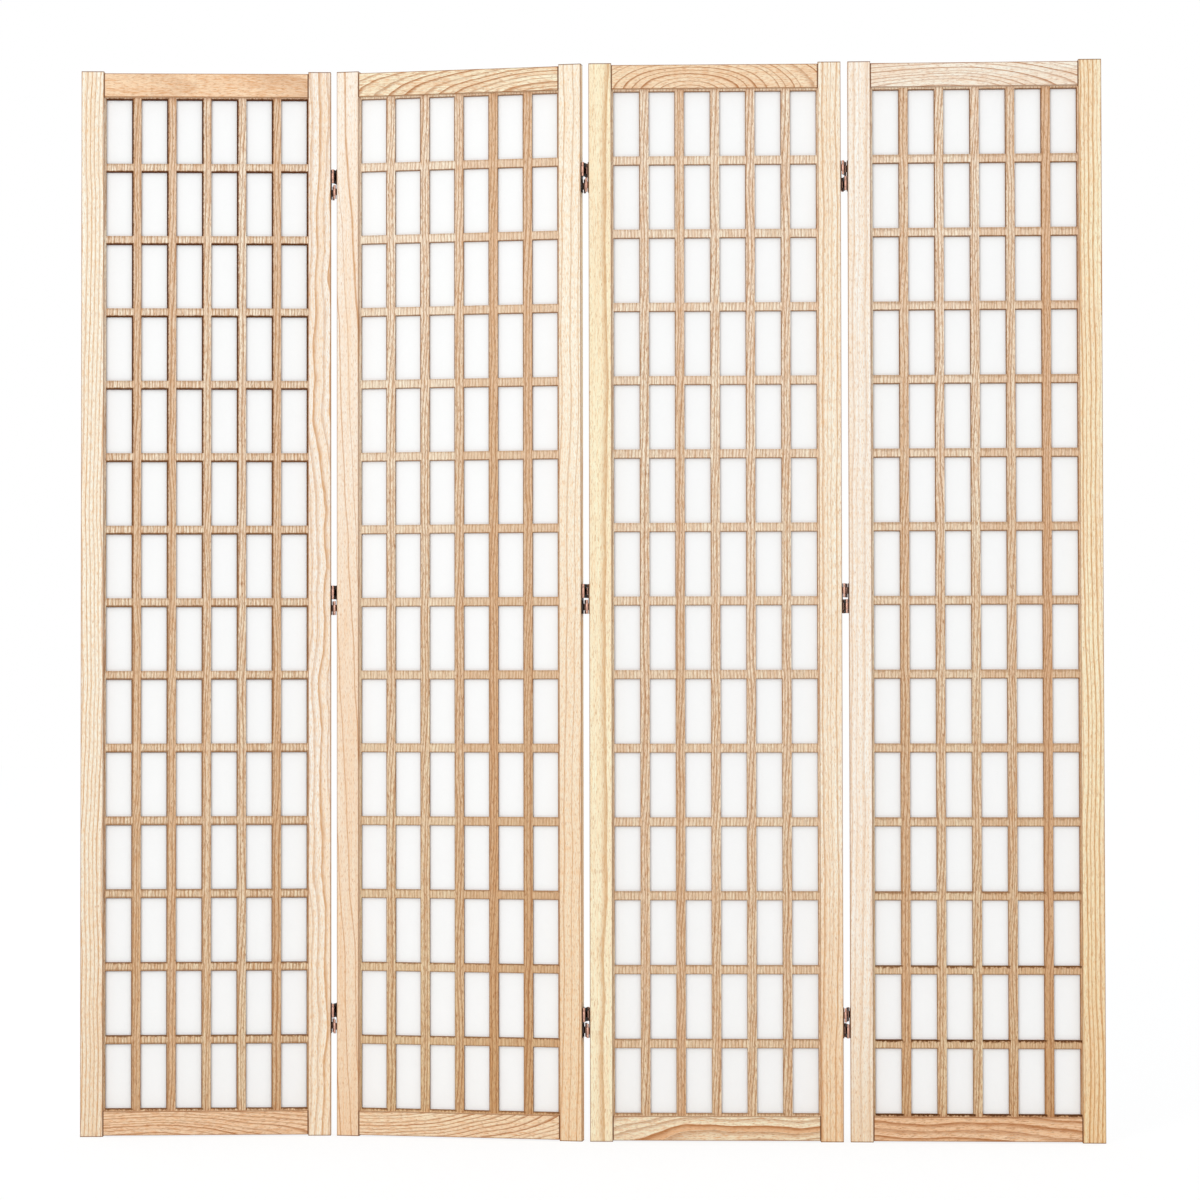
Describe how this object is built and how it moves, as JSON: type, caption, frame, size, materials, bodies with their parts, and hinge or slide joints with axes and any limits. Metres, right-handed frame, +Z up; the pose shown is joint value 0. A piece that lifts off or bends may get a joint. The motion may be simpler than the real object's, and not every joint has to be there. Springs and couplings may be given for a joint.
{
  "type": "folding screen",
  "caption": "Free-standing folding screen with wooden frames, a thin window grille over white paper in each panel, and small two-way hinges.",
  "frame": {"origin": "centre of the screen's bounding box, on the floor, as it stands slightly folded", "axes": "+Z up, the front with the open grille faces -Y, +X runs along the screen from the first panel to the fourth"},
  "size_m": [1.6214, 0.0728, 1.7],
  "materials": {
    "stile_wood": "pale bare wood with straight grain, lightly sanded",
    "rail_wood": "pale bare wood with arched grain",
    "dowel_wood": "plain dowel wood",
    "grille_wood": "thin wood board with upright grain, edges browned by the cut",
    "paper": "matt white fibrous sheet",
    "leaf_bronze": "dark bronze plating",
    "link_bronze": "dark bronze plating, copper on the worn curves",
    "pin_bronze": "bronze plating",
    "screw_bronze": "bronze plating, worn bright on the heads"
  },
  "bodies": {
    "panel_1": {"panel_1_left_stile": "stile_wood", "panel_1_right_stile": "stile_wood", "panel_1_top_rail": "rail_wood", "panel_1_bottom_rail": "rail_wood", "panel_1_dowels": "dowel_wood", "panel_1_grille": "grille_wood", "panel_1_paper": "paper", "hinge_1_left_leaves": "leaf_bronze", "hinge_1_left_screws": "screw_bronze", "hinge_1_left_pins": "pin_bronze"},
    "panel_2": {"panel_2_left_stile": "stile_wood", "panel_2_right_stile": "stile_wood", "panel_2_top_rail": "rail_wood", "panel_2_bottom_rail": "rail_wood", "panel_2_dowels": "dowel_wood", "panel_2_grille": "grille_wood", "panel_2_paper": "paper", "hinge_2_left_leaves": "leaf_bronze", "hinge_2_left_screws": "screw_bronze", "hinge_2_left_pins": "pin_bronze", "hinge_1_right_leaves": "leaf_bronze", "hinge_1_right_screws": "screw_bronze", "hinge_1_right_pins": "pin_bronze"},
    "panel_3": {"panel_3_left_stile": "stile_wood", "panel_3_right_stile": "stile_wood", "panel_3_top_rail": "rail_wood", "panel_3_bottom_rail": "rail_wood", "panel_3_dowels": "dowel_wood", "panel_3_grille": "grille_wood", "panel_3_paper": "paper", "hinge_3_left_leaves": "leaf_bronze", "hinge_3_left_screws": "screw_bronze", "hinge_3_left_pins": "pin_bronze", "hinge_2_right_leaves": "leaf_bronze", "hinge_2_right_screws": "screw_bronze", "hinge_2_right_pins": "pin_bronze"},
    "panel_4": {"panel_4_left_stile": "stile_wood", "panel_4_right_stile": "stile_wood", "panel_4_top_rail": "rail_wood", "panel_4_bottom_rail": "rail_wood", "panel_4_dowels": "dowel_wood", "panel_4_grille": "grille_wood", "panel_4_paper": "paper", "hinge_3_right_leaves": "leaf_bronze", "hinge_3_right_screws": "screw_bronze", "hinge_3_right_pins": "pin_bronze"},
    "upper_links_1": {"hinge_1_upper_links": "link_bronze"},
    "lower_links_1": {"hinge_1_lower_links": "link_bronze"},
    "upper_links_2": {"hinge_2_upper_links": "link_bronze"},
    "lower_links_2": {"hinge_2_lower_links": "link_bronze"},
    "upper_links_3": {"hinge_3_upper_links": "link_bronze"},
    "lower_links_3": {"hinge_3_lower_links": "link_bronze"}
  },
  "joints": [
    {"name": "fold_1", "type": "hinge", "parent": "panel_2", "child": "panel_1", "pos_m": [-0.40808, 0.01647, 0.853], "axis": [0, 0, 1], "range_deg": [-12.3, 167.2]},
    {"name": "fold_1_upper_links", "type": "hinge", "parent": "panel_2", "child": "upper_links_1", "pos_m": [-0.40456, 0.03439, 0.853], "axis": [0, 0, 1], "range_deg": [-0.62, 7.81]},
    {"name": "fold_1_lower_links", "type": "hinge", "parent": "panel_1", "child": "lower_links_1", "pos_m": [-0.41093, 0.0345, 0.853], "axis": [0, 0, 1], "range_deg": [-7.81, 0.62]},
    {"name": "fold_2", "type": "hinge", "parent": "panel_2", "child": "panel_3", "pos_m": [-0.00133, -0.01633, 0.853], "axis": [0, 0, 1], "range_deg": [-8.8, 170.6]},
    {"name": "fold_2_upper_links", "type": "hinge", "parent": "panel_2", "child": "upper_links_2", "pos_m": [-0.00501, -0.03423, 0.853], "axis": [0, 0, 1], "range_deg": [-0.51, 8.89]},
    {"name": "fold_2_lower_links", "type": "hinge", "parent": "panel_3", "child": "lower_links_2", "pos_m": [0.00059, -0.0345, 0.853], "axis": [0, 0, 1], "range_deg": [-8.89, 0.51]},
    {"name": "fold_3", "type": "hinge", "parent": "panel_3", "child": "panel_4", "pos_m": [0.40735, -0.02336, 0.853], "axis": [0, 0, -1], "range_deg": [-1.1, 178.4]},
    {"name": "fold_3_upper_links", "type": "hinge", "parent": "panel_4", "child": "upper_links_3", "pos_m": [0.40911, -0.00513, 0.853], "axis": [0, 0, -1], "range_deg": [-12.01, 0.12]},
    {"name": "fold_3_lower_links", "type": "hinge", "parent": "panel_3", "child": "lower_links_3", "pos_m": [0.40493, -0.0052, 0.853], "axis": [0, 0, -1], "range_deg": [-0.12, 12.01]}
  ],
  "couplings": [
    {"joint": "fold_1_upper_links", "follows": "fold_1", "ratio": 0.046423},
    {"joint": "fold_1_lower_links", "follows": "fold_1", "ratio": -0.046423},
    {"joint": "fold_2_upper_links", "follows": "fold_2", "ratio": 0.051795},
    {"joint": "fold_2_lower_links", "follows": "fold_2", "ratio": -0.051795},
    {"joint": "fold_3_upper_links", "follows": "fold_3", "ratio": -0.067024},
    {"joint": "fold_3_lower_links", "follows": "fold_3", "ratio": 0.067024}
  ]
}
